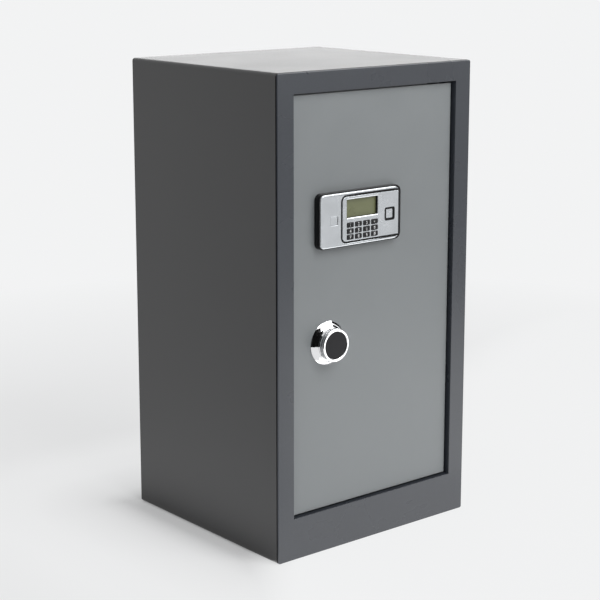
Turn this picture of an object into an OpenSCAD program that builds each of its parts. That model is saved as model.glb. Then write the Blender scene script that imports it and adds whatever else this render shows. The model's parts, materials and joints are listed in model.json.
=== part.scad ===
// Tall electronic safe: a welded steel cabinet with a recessed, side-hinged door.
// Millimetres. X runs to the right, Y to the back, Z up. The origin is the middle of the cabinet's
// underside. The door is shut and its bolts are withdrawn, as when the code has just been accepted.
// Places in depth are measured back from the cabinet's front face.

/* [Cabinet] */
// Width of the cabinet
body_w = 370; // [350:1:420]
// Depth of the cabinet
body_d = 346; // [300:1:420]
// Height of the cabinet
body_h = 700; // [670:1:750]
// Thickness of the cabinet's sheet steel
sheet_t = 3; // [2:0.5:4]
// Radius of the long edges that run from front to back
corner_r = 6; // [4.5:0.5:10]
// Radius of the edges round the front and the back, no more than the sheet
edge_r = 2; // [1:0.5:4]

/* [Front frame] */
// Width of the frame on each side of the door
frame_side = 30; // [24:1:36]
// Width of the frame above the door
frame_top = 30; // [24:1:40]
// Height of the frame below the door
frame_bottom = 62; // [40:1:76]
// How far the frame's inward return runs back
jamb_depth = 27; // [26:0.5:30]
// Width of the bars that the shut door stops against
stop_w = 5; // [4:0.5:8]
// Gap between the shut door and those bars
stop_gap = 0.5; // [0.3:0.1:1]

/* [Door] */
// Thickness of the door's outer plate
door_t = 5; // [4:0.5:6]
// How far the door's face lies behind the frame's face
door_recess = 7; // [5:0.5:9]
// Gap between door and frame at the free side, the top and the bottom
door_gap = 3; // [2:0.5:4]
// Gap between door and frame at the hinge side
hinge_gap = 4; // [4:0.5:5]
// Radius of the door plate's corners
door_r = 1.5; // [1:0.5:3]
// Distance of the pivots from the door's hinge edge
pivot_inset = 20; // [20:0.5:26]
// Distance of the pivots behind the door plate
pivot_back = 7; // [6:0.5:8]
// Diameter of the pivot pins
pivot_d = 8; // [6:0.5:9]
// Height of the steel blocks that hold the pivot pins
hinge_block_h = 24; // [18:1:24]

/* [Bolt box] */
// Distance of the bolt box from the door's free edge
box_side_inset = 16; // [14:1:20]
// Distance of the bolt box from the door's top and bottom
box_end_inset = 25; // [25:1:40]
// Room between the bolts and the inner cover
box_room = 3; // [3:0.5:8]
// Thickness of the bolt box's sheet
box_t = 2; // [1.5:0.5:2.5]
// Thickness of the inner cover
cover_t = 1.5; // [1:0.5:2]

/* [Bolt work] */
// Diameter of the locking bolts
bolt_d = 18; // [14:1:18]
// Length of the locking bolts
bolt_l = 58; // [54:1:62]
// Distance from one bolt to the next
bolt_pitch = 190; // [184:1:200]
// Travel of the bolts
bolt_throw = 20; // [16:0.5:21]
// How far a withdrawn bolt stands out of the bolt box
bolt_rest = 11; // [8:1:12]
// Turn of the knob from open to locked, in degrees
knob_swing = 90; // [80:5:100]
// Thickness of the bar that carries the bolts
bar_t = 4; // [3:0.5:4]
// Width of the bar that carries the bolts
bar_w = 60; // [56:1:64]
// Travel of the solenoid's plunger
plunger_travel = 6; // [4:0.5:6]
// Diameter of the solenoid's plunger
plunger_d = 8; // [6:0.5:8]
// Diameter of the fixed pins at the hinge side
fixed_pin_d = 16; // [12:1:16]

/* [Knob] */
// Distance of the knob's axis from the door's free edge
knob_inset = 65; // [64:1:70]
// Height of the knob's axis above the door opening's sill
knob_up = 248; // [226:0.5:261]
// Diameter of the knob's front bead
knob_d = 48.5; // [46:0.5:52]
// How far the knob stands out of the door
knob_h = 19; // [17:0.5:24]
// Diameter of the dark cap in the knob
cap_d = 41.5; // [34:0.5:43]
// Diameter of the rosette
rosette_d = 64; // [60:1:70]
// Diameter of the rosette's upper step
rosette_step_d = 56; // [53:1:58]
// Height of the rosette
rosette_h = 7; // [5.5:0.5:8]
// Diameter of the spindle
spindle_d = 10; // [8:0.5:10]

/* [Keypad] */
// Width of the keypad's housing
panel_w = 156; // [154:1:166]
// Height of the keypad's housing
panel_h = 80; // [80:1:92]
// Height of the keypad's housing off the door
panel_t = 10; // [9.5:0.5:12]
// Corner radius of the keypad's housing
panel_r = 10; // [9:0.5:12]
// Distance of the housing's middle from the door's free edge
panel_inset = 117.5; // [110:0.5:125]
// Distance of the housing's middle below the top of the door opening
panel_drop = 182; // [176:0.5:200]
// Width of the silver faceplate
face_w = 148.5; // [146:0.5:149]
// Height of the silver faceplate
face_h = 76.5; // [75:0.5:77]
// How far the silver plates sit to the left of the housing's middle
face_shift = 2.2; // [0:0.1:2.4]
// Corner radius of the silver faceplate
face_r = 8; // [6:0.5:9]
// Thickness of the silver plates
plate_t = 1.2; // [1:0.1:1.4]
// Height of the faceplate's strips above and below the control plate
strip_h = 3.6; // [3:0.1:4]
// Width of the black groove round the control plate
groove_w = 2.8; // [2:0.1:3]
// Width of the faceplate to the left of that groove
lock_bay_w = 38.5; // [36:0.5:40]
// Corner radius of the control plate
control_r = 7; // [4:0.5:9]
// Width of a key
key_w = 12.8; // [11:0.1:13.5]
// Height of a key
key_h = 7.1; // [6:0.1:7.3]
// Distance from one column of keys to the next
key_pitch_x = 15.4; // [15:0.1:15.6]
// Distance from one row of keys to the next
key_pitch_z = 8.75; // [8.6:0.05:8.9]
// Control plate left below the bottom row of keys
key_margin = 1.9; // [1.8:0.1:3]
// Travel of the keys and of the square button
key_travel = 1; // [0.6:0.1:1]
// Width of the display's window
lcd_w = 58; // [54:0.1:59]
// Height of the display's window
lcd_h = 26.2; // [24:0.1:26.8]
// Control plate left of the display's window
lcd_margin_x = 8.6; // [7:0.1:10]
// Control plate left above the display's window
lcd_margin_z = 4.2; // [3.5:0.1:5]
// Width and height of the square button
button_w = 13.2; // [12:0.1:14.5]
// Distance of the square button's middle from the plates' right edge
button_inset = 17; // [16:0.1:20]

/* [Inside] */
// Height of the shelf above the cabinet's floor
shelf_up = 357; // [200:1:400]
// Thickness of the shelf's sheet
shelf_t = 1.5; // [1:0.5:2]
// Thickness of the floor mat
mat_t = 3; // [2:0.5:5]
// Diameter of the anchor holes
anchor_d = 12; // [10:1:16]
// Distance between the floor's anchor holes from side to side
anchor_x = 240; // [200:1:260]
// Distance between the floor's anchor holes from front to back
anchor_y = 180; // [150:1:200]
// Height of the back's anchor holes
anchor_up = 560; // [450:1:600]
// Diameter of a battery cell
cell_d = 14.2; // [14:0.1:14.5]
// Length of a battery cell
cell_l = 50.5; // [50:0.1:51]

/* [Hidden] */
$fn = 64;

// Clearances and small allowances that several pieces share
running = 0.05;          // radial clearance of a turning fit
sliding = 0.3;           // clearance of a sliding fit
overcut = 1;             // how far a cut runs past the face that it opens
front_y = -body_d / 2;   // the cabinet's front face

// The door opening
open_l = -body_w / 2 + frame_side;
open_r = body_w / 2 - frame_side;
open_b = frame_bottom;
open_t = body_h - frame_top;

// The door plate
door_l = open_l + door_gap;
door_rt = open_r - hinge_gap;
door_b = open_b + door_gap;
door_tp = open_t - door_gap;
door_back = door_recess + door_t;
pivot_x = door_rt - pivot_inset;
pivot_y = door_back + pivot_back;
hinge_block_w = 20;

// The knob, its crank and the bolt bar
knob_x = door_l + knob_inset;
knob_z = open_b + knob_up;
bush_wall = 3;
bush_flange = 6;                                 // how far the bush's flange reaches past the spindle
bush_flange_t = 2;
crank_gap = 0.5;
crank_t = 5;
crank_front = door_back + bush_flange_t + crank_gap;
crank_back = crank_front + crank_t;
nut_t = 4.6;
nut_across = 17;
bar_gap = 1.9;                                   // between the spindle nut and the bar
bolt_clear = 2;                                  // between the bolts and the frame's return
bolt_flat = 1;                                   // depth of the flat on which a bolt sits against the bar
bar_front = max(crank_back + nut_t + bar_gap, jamb_depth + bolt_clear + bolt_flat - bar_t);
bar_back = bar_front + bar_t;
bolt_y = bar_back - bolt_flat + bolt_d / 2;
bar_lead = 25;                                   // the bar's reach past the knob's axis
bar_l = knob_x - bar_lead;
bar_r = bar_l + bar_w;
bar_over = 25;                                   // the bar's length past the end bolts
bolt_z = [for (i = [-1:1]) (door_b + door_tp) / 2 + i * bolt_pitch];
bolt_screw_d = 6;
bolt_screw_x = bar_l + 2 * bolt_screw_d;
bolt_head_rim = 2;
bolt_head_t = 3;
bolt_hole_wall = 6;                              // the bolt's steel past the end of its screw hole
bolt_hole_end = bar_back + bolt_d - bolt_hole_wall;
bolt_screw_room = 2;
bolt_screw_end = bolt_hole_end - bolt_screw_room;
crank_r = bolt_throw / (2 * sin(knob_swing / 2));
crank_pin_d = 8;
crank_pin_x = knob_x + bolt_throw / 2;           // where the crank pin stands at rest
crank_pin_z = knob_z + crank_r * cos(knob_swing / 2);
crank_play = 0.55;                               // room for the crank pin's arc in its slot
crank_slot_w = crank_pin_d + 2 * crank_play;
crank_slot_h = crank_r * (1 - cos(knob_swing / 2));
crank_disc_r = crank_r + crank_pin_d;
pin_past = 1.5;                                  // the crank pin's length past the bar
guide_d = 8;
guide_head_r = 7;
guide_from_bolt = 38;                            // the lower guide's height above the lowest bolt
guide_offset = 1;
guide_x = knob_x - guide_offset;
guide_ring_t = 1.5;
stud_past = 4;                                   // the guide studs' length past the bar

// The rosette, the knob and its cap
rosette_rim = 3.2;                               // height of the rosette's lower step
rosette_soft = 1.2;
rosette_fit = 0.6;
knob_gap = 0.4;                                  // between the rosette and the knob
knob_foot = 1;                                   // the chamfers at both ends of the knob's waist
knob_waist = 1.8;                                // how far the waist lies inside the bead
knob_bead = 5;
knob_lip = 0.3;
cap_sink = 2.4;                                  // depth of the cap's seat in the knob
cap_low = 0.6;
cap_fit = 0.2;
cap_soft = 0.5;

// The bolt box
box_hinge_gap = 13;                              // between the bolt box and the hinge blocks
box_l = door_l + box_side_inset;
box_r = pivot_x - hinge_block_w / 2 - box_hinge_gap;
box_b = door_b + box_end_inset;
box_tp = door_tp - box_end_inset;
box_back = bolt_y + bolt_d / 2 + box_room;
cover_back = box_back + cover_t;
bolt_tip = box_l - bolt_rest;
bolt_rear = bolt_tip + bolt_l;
bolt_point = 2;                                  // length of the chamfer at a bolt's tip
screw_r = 2;
screw_clear = 0.2;
screw_head_h = 2.2;
tab_screw_l = 10;
post_grip = 6;
post_screw_l = door_t + post_grip;
tab_w = 16;
mid_tab_up = 40;                                 // the middle tabs' height above the middle bolt
tab_z = [box_b + box_t, bolt_z[1] + mid_tab_up, box_tp - box_t - tab_w];
tab_x = [box_l + box_t, box_r - box_t - tab_w];

// The pins at the hinge side
fixed_pin_from_bolt = 40;
fixed_pin_z = [bolt_z[0] - fixed_pin_from_bolt, bolt_z[2] + fixed_pin_from_bolt];
fixed_pin_reach = 9;                             // how far they reach behind the frame
fixed_pin_point = 1.5;
fixed_pin_collar = 2.5;
fixed_pin_collar_t = 4;

// The hinges
hinge_block_back = pivot_y + pivot_back;
pin_seat = 6;
pin_grip = hinge_block_h - pin_seat;             // the pins' length inside their blocks
boss_h = 14;
pin_short = 2;
pin_reach = sheet_t + boss_h - pin_short;        // the pins' length past the opening
boss_r = 10;
washer_r = 7;

// The solenoid that blocks the bolt bar
sol_from_bar = 22;
sol_x = bar_r + sol_from_bar;
arm_up = 71;                                     // the arm's height above the middle bolt
arm_z = bolt_z[1] + arm_up;                      // underside of the bar's arm
arm_h = 12;
arm_past = 4;                                    // the arm's length past its lug
lug_h = 6;
lug_chamfer = 3;
lug_clear = 1.5;                                 // between the lug and the plunger, either side
lug_l = sol_x + plunger_d / 2 + lug_clear;
lug_r = sol_x + bolt_throw - plunger_d / 2 - lug_clear;
plunger_gap = 1;                                 // between the withdrawn plunger and the lug
plunger_top = arm_z - lug_h - plunger_gap;
plunger_show = 8;
sol_top = plunger_top - plunger_show;
sol_h = 34;
sol_b = sol_top - sol_h;
sol_w = 28;
sol_deep = 24;
sol_wall = 2;
sol_foot_h = 8;
sol_y = (bar_front + bar_back) / 2;
sol_front = sol_y - sol_deep / 2;
coil_r = 10;
coil_end = 4;                                    // solid end of the coil under the plunger
plunger_fit = 0.2;
plunger_point = 1;

// The keypad's housing and plates
panel_x = door_l + panel_inset;
panel_z = open_t - panel_drop;
panel_front = door_recess - panel_t;
panel_wall = 2.5;
panel_edge = 2.5;                                // the step round the housing's front
post_x = panel_w / 2 - panel_r;
post_z = panel_h / 2 - panel_r;
post_r = 3.5;
face_x = panel_x - face_shift;
face_l = face_x - face_w / 2;
face_rt = face_x + face_w / 2;
face_front = panel_front - plate_t;
control_l = face_l + lock_bay_w + groove_w;
control_h = face_h - 2 * (strip_h + groove_w);
control_b = panel_z - control_h / 2;
control_t = panel_z + control_h / 2;

// The display and the keypad's circuit board
lcd_x = control_l + lcd_margin_x + lcd_w / 2;
lcd_z = control_t - lcd_margin_z - lcd_h / 2;
lcd_rim = 2.2;
lcd_frame_w = lcd_w + 2 * lcd_rim;
lcd_frame_h = lcd_h + 2 * lcd_rim;
lcd_sink = 4.5;                                  // how far the glass lies behind the plate's face
lcd_front = face_front + lcd_sink;
lcd_t = 2.2;
lcd_r = 0.6;
board_y = lcd_front + lcd_t;
board_t = 1.6;
board_edge = 1;

// The keys and the square button
key_columns = 4;
key_rows = 3;
keys_x = lcd_x - (key_columns - 1) / 2 * key_pitch_x;
keys_z = control_b + key_margin + key_h / 2 + (key_rows - 1) * key_pitch_z;
key_clear = 0.2;
key_proud = 0.7;
key_r = 1.6;
key_skirt = 0.55;
key_gap = 0.1;                                   // between a key's skirt and the plate
key_back = board_y - key_travel - sliding;
window_w = max(lcd_frame_w, (key_columns - 1) * key_pitch_x + key_w + 2 * key_skirt) + 2 * sliding;
window_b = control_b + key_margin - key_skirt - sliding;
window_t = lcd_z + lcd_frame_h / 2 + sliding;
button_x = face_rt - button_inset;
button_drop = 0.8;                               // how far it lies below the housing's middle
button_border_x = 3.2;                           // black border at the button's sides
button_border_z = 2.4;                           // black border above and below it
button_sink = 1;                                 // how far it lies behind the plate's face
button_skirt = 1;
button_r = 1.2;

// The key lock behind its square cap
lock_cap_w = 13.4;
lock_cap_h = 12;
lock_cap_r = 0.8;
lock_cap_sink = 0.8;
lock_in = 25.7;                                  // from the faceplate's left edge
lock_x = face_l + lock_in;
lock_front = panel_front + panel_wall;
lock_r = 9.5;
lock_collar = 2;
lock_collar_t = 1.5;
lock_l = 20;
lock_back = lock_front + lock_l;
lock_nut_r = 14.5;
lock_nut_t = 3;
guide_z = [bolt_z[0] + guide_from_bolt,
    (panel_z + lock_nut_r + bolt_z[2] - bolt_d / 2) / 2];  // the upper one is midway from lock to bolt
plug_r = 6;
plug_sink = 0.5;
key_slot_w = 2;
key_slot_h = 8;
key_slot_l = 14;
cam_r = 7;
cam_t = 2.2;
cam_gap = 0.4;
cam_w = 8;
cam_reach = 13;
cam_seat_step = 2;
cam_seat_r = plug_r - cam_seat_step;

// The control board
pcb_w = 74;
pcb_h = 100;
pcb_side_gap = 14;
pcb_l = box_r - box_t - pcb_side_gap - pcb_w;
pcb_drop = 60;                                   // the board's reach below the bar's arm
pcb_b = arm_z - pcb_drop;
pcb_stand = 10;
pcb_y = door_back + pcb_stand;
pcb_back = pcb_y + board_t;
pcb_post = 6;                                    // the posts' distance from the board's edges
pcb_post_r = 3;
pcb_screw_r = 1.6;
pcb_screw_past = 2;
pcb_screw_end = pcb_back + pcb_screw_past;
relay_in = 40;                                   // from the board's left edge, as are the others
relay_up = 34;                                   // from the board's bottom edge, as are the others
relay_x = pcb_l + relay_in;
relay_z = pcb_b + relay_up;
relay_w = 16;
relay_h = 20;
relay_t = 12;
capacitor_in = 24;
capacitor_up = 46;
capacitor_x = pcb_l + capacitor_in;
capacitor_z = pcb_b + capacitor_up;
capacitor_r = 5;
capacitor_t = 13;
buzzer_in = 54;
buzzer_up = 76;
buzzer_x = pcb_l + buzzer_in;
buzzer_z = pcb_b + buzzer_up;
buzzer_r = 7;
buzzer_t = 7;
plug_in = 46;
plug_up = 8;
plug_x = pcb_l + plug_in;
plug_w = 20;
plug_t = 14;
plug_b = pcb_b + plug_up;
plug_h = 7;

// The cables
cable_slot_in = 40;                              // from the housing's middle to the right
cable_slot_drop = 22;                            // from the housing's middle down
cable_slot_x = panel_x + cable_slot_in;
cable_slot_z = panel_z - cable_slot_drop;
cable_w = 10;
cable_t = 1;
cable_room = 2;
cable_stand = 4;
cable_run = door_back + cable_stand;             // depth of the ribbon's run to the control board
ribbon_in = 22;
ribbon_x = pcb_l + ribbon_in;
lead_r = 1.2;
lead_in = 7;
lead_up = 24;
lead_gap = 4;
lead_x = pcb_l + lead_in;
lead_z = pcb_b + lead_up;
lead_y = sol_y + coil_r + lead_gap;

// The batteries
cells = 4;
cell_gap = 1.2;
cell_pitch = cell_d + cell_gap;
cell_wall = 2;
cell_spring = 3;                                 // contact springs' room at each end of a cell
cell_nub = 1;
cell_nub_r = 2.6;
bay_w = cells * cell_pitch + 2 * cell_wall;
bay_side_gap = 20;
bay_l = box_r - box_t - bay_side_gap - bay_w;
bay_up = 21;                                     // the battery box's height above the lowest bolt
bay_b = bolt_z[0] + bay_up;
bay_h = cell_l + 2 * cell_spring + 2 * cell_wall;
bay_play = 1;
bay_deep = cell_d + cell_wall + bay_play;
bay_lid_t = 2;
bay_lid_over = 3;
bay_clip_w = 16;
bay_clip_t = 1.5;
bay_clip_l = 2.5;

// The reset button
reset_in = 20;
reset_up = 18;
reset_x = pcb_l + reset_in;
reset_z = pcb_b + reset_up;
reset_r = 3;
reset_travel = 1.5;
reset_flange = 1.5;
reset_flange_t = 1.7;
reset_show = 0.5;
reset_switch = 8;
reset_room = 14;
reset_front = box_back - reset_room;             // back of the switch that the button presses

// The inside of the cabinet
inner_l = -body_w / 2 + sheet_t;
inner_back = body_d - sheet_t;
mat_edge = 4;
shelf_clear = 1.5;
shelf_gap = 12;                                  // between the inner cover and the shelf
shelf_front = cover_back + shelf_gap;
shelf_lip = 15;
bracket_w = 15;
bracket_t = 2;
bracket_front = 10;
bracket_rear = 20;

// One piece of a depth, drawn in X and Z
module plate(y, t) {
    translate([0, front_y + y + t, 0]) rotate([90, 0, 0]) linear_extrude(t) children();
}

// A block between two planes in X, in depth and in Z
module block(x0, x1, y0, y1, z0, z1) {
    translate([x0, front_y + y0, z0]) cube([x1 - x0, y1 - y0, z1 - z0]);
}

// Round bars along X, along the depth and along Z
module bar_x(y, z, r, x0, x1) {
    translate([x0, front_y + y, z]) rotate([0, 90, 0]) cylinder(r = r, h = x1 - x0);
}
module bar_y(x, z, r, y0, y1) {
    translate([x, front_y + y1, z]) rotate([90, 0, 0]) cylinder(r = r, h = y1 - y0);
}
module bar_z(x, y, r, z0, z1) {
    translate([x, front_y + y, z0]) cylinder(r = r, h = z1 - z0);
}

// A rectangle with round corners about its middle
module round_rect(w, h, r) {
    square([w - 2 * r, h], center = true);
    square([w, h - 2 * r], center = true);
    for (x = [-1, 1], z = [-1, 1]) translate([x * (w / 2 - r), z * (h / 2 - r)]) circle(r);
}

// The same, with its middle at a place
module round_rect_at(x, z, w, h, r) {
    translate([x, z]) round_rect(w, h, r);
}

// A slot that runs along X
module slot_x(x0, x1, z, w) {
    translate([x0, z - w / 2]) square([x1 - x0, w]);
    for (x = [x0, x1]) translate([x, z]) circle(w / 2);
}

// The cabinet's outline from the front
module cabinet_outline() {
    round_rect_at(0, body_h / 2, body_w, body_h, corner_r);
}

// A skin of the cabinet's outline, with its outer edges rounded: face = 0 for the front, 1 for the back
module rounded_skin(face) {
    r = min(edge_r, sheet_t);
    y0 = face == 0 ? 0 : body_d - sheet_t;
    intersection() {
        plate(y0, sheet_t) cabinet_outline();
        linear_extrude(body_h) round_rect(body_w, body_d, r);
        translate([-body_w / 2, 0, body_h / 2]) rotate([90, 0, 90]) linear_extrude(body_w)
            round_rect(body_d, body_h, r);
    }
}

module anchor_holes() {
    for (x = [-1, 1], y = [-1, 1])
        translate([x * anchor_x / 2, y * anchor_y / 2, -overcut])
            cylinder(d = anchor_d, h = sheet_t + mat_t + 2 * overcut);
}

module outer_wrap() color("#4a4b4d") difference() {
    plate(sheet_t, body_d - 2 * sheet_t) difference() {
        cabinet_outline();
        round_rect_at(0, body_h / 2, body_w - 2 * sheet_t, body_h - 2 * sheet_t, corner_r - sheet_t);
    }
    anchor_holes();
}

module front_frame() color("#5b5e63") difference() {
    union() {
        rounded_skin(0);
        block(open_l - sheet_t, open_r + sheet_t, sheet_t, jamb_depth, open_b - sheet_t, open_t + sheet_t);
    }
    block(open_l, open_r, -overcut, jamb_depth + overcut, open_b, open_t);
    for (z0 = [open_b - sheet_t, open_t])
        bar_z(pivot_x, pivot_y, pivot_d / 2 + running, z0 - overcut, z0 + sheet_t + overcut);
}

module back_panel() color("#4a4b4d") difference() {
    rounded_skin(1);
    for (x = [-1, 1])
        bar_y(x * anchor_x / 2, anchor_up, anchor_d / 2, inner_back - overcut, body_d + overcut);
}

// Bars at the free side, the top and the bottom of the opening that the door plate shuts against
module door_stops() color("#5b5e63") {
    y0 = door_back + stop_gap;
    block(open_l, open_l + stop_w, y0, jamb_depth, open_b, open_t);
    block(open_l + stop_w, box_r, y0, jamb_depth, open_t - stop_w, open_t);
    block(open_l + stop_w, box_r, y0, jamb_depth, open_b, open_b + stop_w);
}

module pivot_bosses() color("silver") for (z0 = [open_b - sheet_t - boss_h, open_t + sheet_t]) difference() {
    intersection() {
        bar_z(pivot_x, pivot_y, boss_r, z0, z0 + boss_h);
        block(pivot_x - boss_r, pivot_x + boss_r, sheet_t, jamb_depth, z0, z0 + boss_h);
    }
    bar_z(pivot_x, pivot_y, pivot_d / 2 + running, z0 - overcut, z0 + boss_h + overcut);
}

module thrust_washers() color("#303236") for (z0 = [open_b, door_tp]) difference() {
    bar_z(pivot_x, pivot_y, washer_r, z0, z0 + door_gap);
    bar_z(pivot_x, pivot_y, pivot_d / 2 + running, z0 - overcut, z0 + door_gap + overcut);
}

module shelf() color("#5b5e63") {
    l = inner_l + shelf_clear;
    block(l, -l, shelf_front, inner_back - shelf_clear, shelf_up - shelf_t, shelf_up);
    block(l, -l, shelf_front, shelf_front + shelf_t, shelf_up - shelf_lip, shelf_up);
}

module shelf_brackets() color("#5b5e63") for (side = [-1, 1]) {
    y0 = shelf_front + bracket_front;
    y1 = inner_back - bracket_rear;
    z1 = shelf_up - shelf_t;
    wall = -side * inner_l;
    x_in = wall - side * bracket_w;
    x_leg = wall - side * bracket_t;
    block(min(wall, x_in), max(wall, x_in), y0, y1, z1 - bracket_t, z1);
    block(min(wall, x_leg), max(wall, x_leg), y0, y1, z1 - bracket_w, z1);
}

module floor_mat() color("#3a3a3c") difference() {
    block(inner_l + mat_edge, -inner_l - mat_edge, sheet_t + mat_edge, inner_back - mat_edge,
        sheet_t, sheet_t + mat_t);
    anchor_holes();
}

// The places of the four screws that hold the keypad's housing
module at_posts() {
    for (x = [-1, 1], z = [-1, 1]) translate([panel_x + x * post_x, 0, panel_z + z * post_z]) children();
}

// The places of the screws that hold the inner cover
module at_tabs() {
    for (x = tab_x, z = tab_z) translate([x + tab_w / 2, 0, z + tab_w / 2]) children();
}

module door_panel() color("#8d9091") difference() {
    plate(door_recess, door_t) round_rect_at((door_l + door_rt) / 2, (door_b + door_tp) / 2,
        door_rt - door_l, door_tp - door_b, door_r);
    bar_y(knob_x, knob_z, spindle_d / 2 + bush_wall, door_recess - overcut, door_back + overcut);
    bar_y(lock_x, panel_z, lock_r + sliding, door_recess - overcut, door_back + overcut);
    plate(door_recess - overcut, door_t + 2 * overcut)
        slot_x(cable_slot_x - cable_room, cable_slot_x + cable_w + cable_room, cable_slot_z,
            cable_t + 2 * cable_room);
    at_posts() bar_y(0, 0, screw_r + screw_clear, door_recess - overcut, door_back + overcut);
}

module bolt_box() color("#5b5e63") difference() {
    union() {
        difference() {
            block(box_l, box_r, door_back, box_back, box_b, box_tp);
            block(box_l + box_t, box_r - box_t, door_back - overcut, box_back + overcut,
                box_b + box_t, box_tp - box_t);
        }
        for (x = tab_x, z = tab_z) block(x, x + tab_w, box_back - box_t, box_back, z, z + tab_w);
    }
    at_tabs() bar_y(0, 0, screw_r, box_back - box_t - overcut, box_back + overcut);
    for (z = bolt_z) bar_x(bolt_y, z, bolt_d / 2 + sliding, box_l - overcut, box_l + box_t + overcut);
    for (z = fixed_pin_z) bar_x(bolt_y, z, fixed_pin_d / 2, box_r - box_t - overcut, box_r + overcut);
}

module inner_cover() color("#5b5e63") difference() {
    block(box_l, box_r, box_back, cover_back, box_b, box_tp);
    at_tabs() bar_y(0, 0, screw_r + screw_clear, box_back - overcut, cover_back + overcut);
    block(bay_l + cell_wall, bay_l + bay_w - cell_wall, box_back - overcut, cover_back + overcut,
        bay_b + cell_wall, bay_b + bay_h - cell_wall);
    bar_y(reset_x, reset_z, reset_r + sliding, box_back - overcut, cover_back + overcut);
}

// A round-headed screw that points to the front: y is the seat of its head
module screw(y, length) {
    bar_y(0, 0, 2 * screw_r, y, y + screw_head_h);
    bar_y(0, 0, screw_r, y - length, y);
}

module door_screws() color("silver") {
    at_tabs() screw(cover_back, tab_screw_l);
    at_posts() screw(door_back, post_screw_l);
}

module hinge_blocks() color("#8d9091") for (z0 = [door_b, door_tp - hinge_block_h]) difference() {
    block(pivot_x - hinge_block_w / 2, pivot_x + hinge_block_w / 2, door_back, hinge_block_back,
        z0, z0 + hinge_block_h);
    bar_z(pivot_x, pivot_y, pivot_d / 2, z0 - overcut, z0 + hinge_block_h + overcut);
}

module hinge_pins() color("silver") {
    bar_z(pivot_x, pivot_y, pivot_d / 2, open_b - pin_reach, door_b + pin_grip);
    bar_z(pivot_x, pivot_y, pivot_d / 2, door_tp - pin_grip, open_t + pin_reach);
}

module hinge_side_pins() color("silver") for (z = fixed_pin_z) {
    tip = open_r + fixed_pin_reach;
    collar = box_r - box_t - fixed_pin_collar_t;
    bar_x(bolt_y, z, fixed_pin_d / 2, collar, tip - fixed_pin_point);
    translate([tip - fixed_pin_point, front_y + bolt_y, z]) rotate([0, 90, 0])
        cylinder(r1 = fixed_pin_d / 2, r2 = fixed_pin_d / 2 - fixed_pin_point, h = fixed_pin_point);
    bar_x(bolt_y, z, fixed_pin_d / 2 + fixed_pin_collar, collar, box_r - box_t);
}

module guide_studs() color("silver") for (z = guide_z) {
    bar_y(guide_x, z, guide_head_r, door_back, bar_front - sliding);
    bar_y(guide_x, z, guide_d / 2, bar_front - sliding, bar_back + stud_past);
    difference() {
        bar_y(guide_x, z, guide_head_r, bar_back + sliding, bar_back + sliding + guide_ring_t);
        bar_y(guide_x, z, guide_d / 2, bar_back, bar_back + stud_past);
    }
}

module spindle_bush() color("ivory") difference() {
    union() {
        bar_y(knob_x, knob_z, spindle_d / 2 + bush_wall, door_recess, door_back);
        bar_y(knob_x, knob_z, spindle_d / 2 + bush_flange, door_back, door_back + bush_flange_t);
    }
    bar_y(knob_x, knob_z, spindle_d / 2 + running, door_recess - overcut,
        door_back + bush_flange_t + overcut);
}

// A turned piece on the knob's axis. Its profile gives radius and height off the door's face.
module turned() {
    translate([knob_x, front_y + door_recess, knob_z]) rotate([90, 0, 0]) rotate_extrude() children();
}

// Points of a round corner or bead in a profile
function arc(r, h, radius, a0, a1, steps) =
    [for (i = [0:steps]) let (a = a0 + (a1 - a0) * i / steps) [r + radius * cos(a), h + radius * sin(a)]];

module knob_rosette() color("silver") {
    bore = spindle_d / 2 + rosette_fit;
    lower_r = rosette_d / 2;
    upper_r = rosette_step_d / 2;
    turned() polygon(concat([[bore, 0], [lower_r, 0]],
        arc(lower_r - rosette_soft, rosette_rim - rosette_soft, rosette_soft, 0, 90, 4),
        [[upper_r, rosette_rim]],
        arc(upper_r - rosette_soft, rosette_h - rosette_soft, rosette_soft, 0, 90, 4),
        [[bore, rosette_h]]));
}

module knob() color("silver") {
    r = knob_d / 2;
    bottom = rosette_h + knob_gap;
    bead_r = knob_bead / 2;
    seat_r = cap_d / 2 + cap_fit;
    turned() polygon(concat(
        [[spindle_d / 2, bottom], [r - knob_foot, bottom], [r - knob_waist, bottom + knob_foot],
            [r - knob_waist, knob_h - knob_bead - knob_foot]],
        arc(r - bead_r, knob_h - bead_r, bead_r, -90, 90, 6),
        [[seat_r, knob_h - knob_lip], [seat_r, knob_h - cap_sink], [spindle_d / 2, knob_h - cap_sink]]));
}

module knob_cap() color("#48484a") {
    r = cap_d / 2;
    turned() polygon([[0, knob_h - cap_sink], [r, knob_h - cap_sink], [r, knob_h - cap_low - cap_soft],
        [r - cap_soft, knob_h - cap_low], [0, knob_h - cap_low]]);
}

module spindle() color("silver") {
    bar_y(knob_x, knob_z, spindle_d / 2, door_recess - (knob_h - cap_sink), crank_back + nut_t);
}

module crank_disc() color("silver") difference() {
    union() {
        bar_y(knob_x, knob_z, crank_disc_r, crank_front, crank_back);
        bar_y(crank_pin_x, crank_pin_z, crank_pin_d / 2, crank_back, bar_back + pin_past);
    }
    bar_y(knob_x, knob_z, spindle_d / 2, crank_front - overcut, crank_back + overcut);
}

module spindle_nut() color("silver") difference() {
    translate([knob_x, front_y + crank_back + nut_t, knob_z]) rotate([90, 0, 0])
        cylinder(d = nut_across, h = nut_t, $fn = 6);
    bar_y(knob_x, knob_z, spindle_d / 2, crank_back - overcut, crank_back + nut_t + overcut);
}

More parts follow.
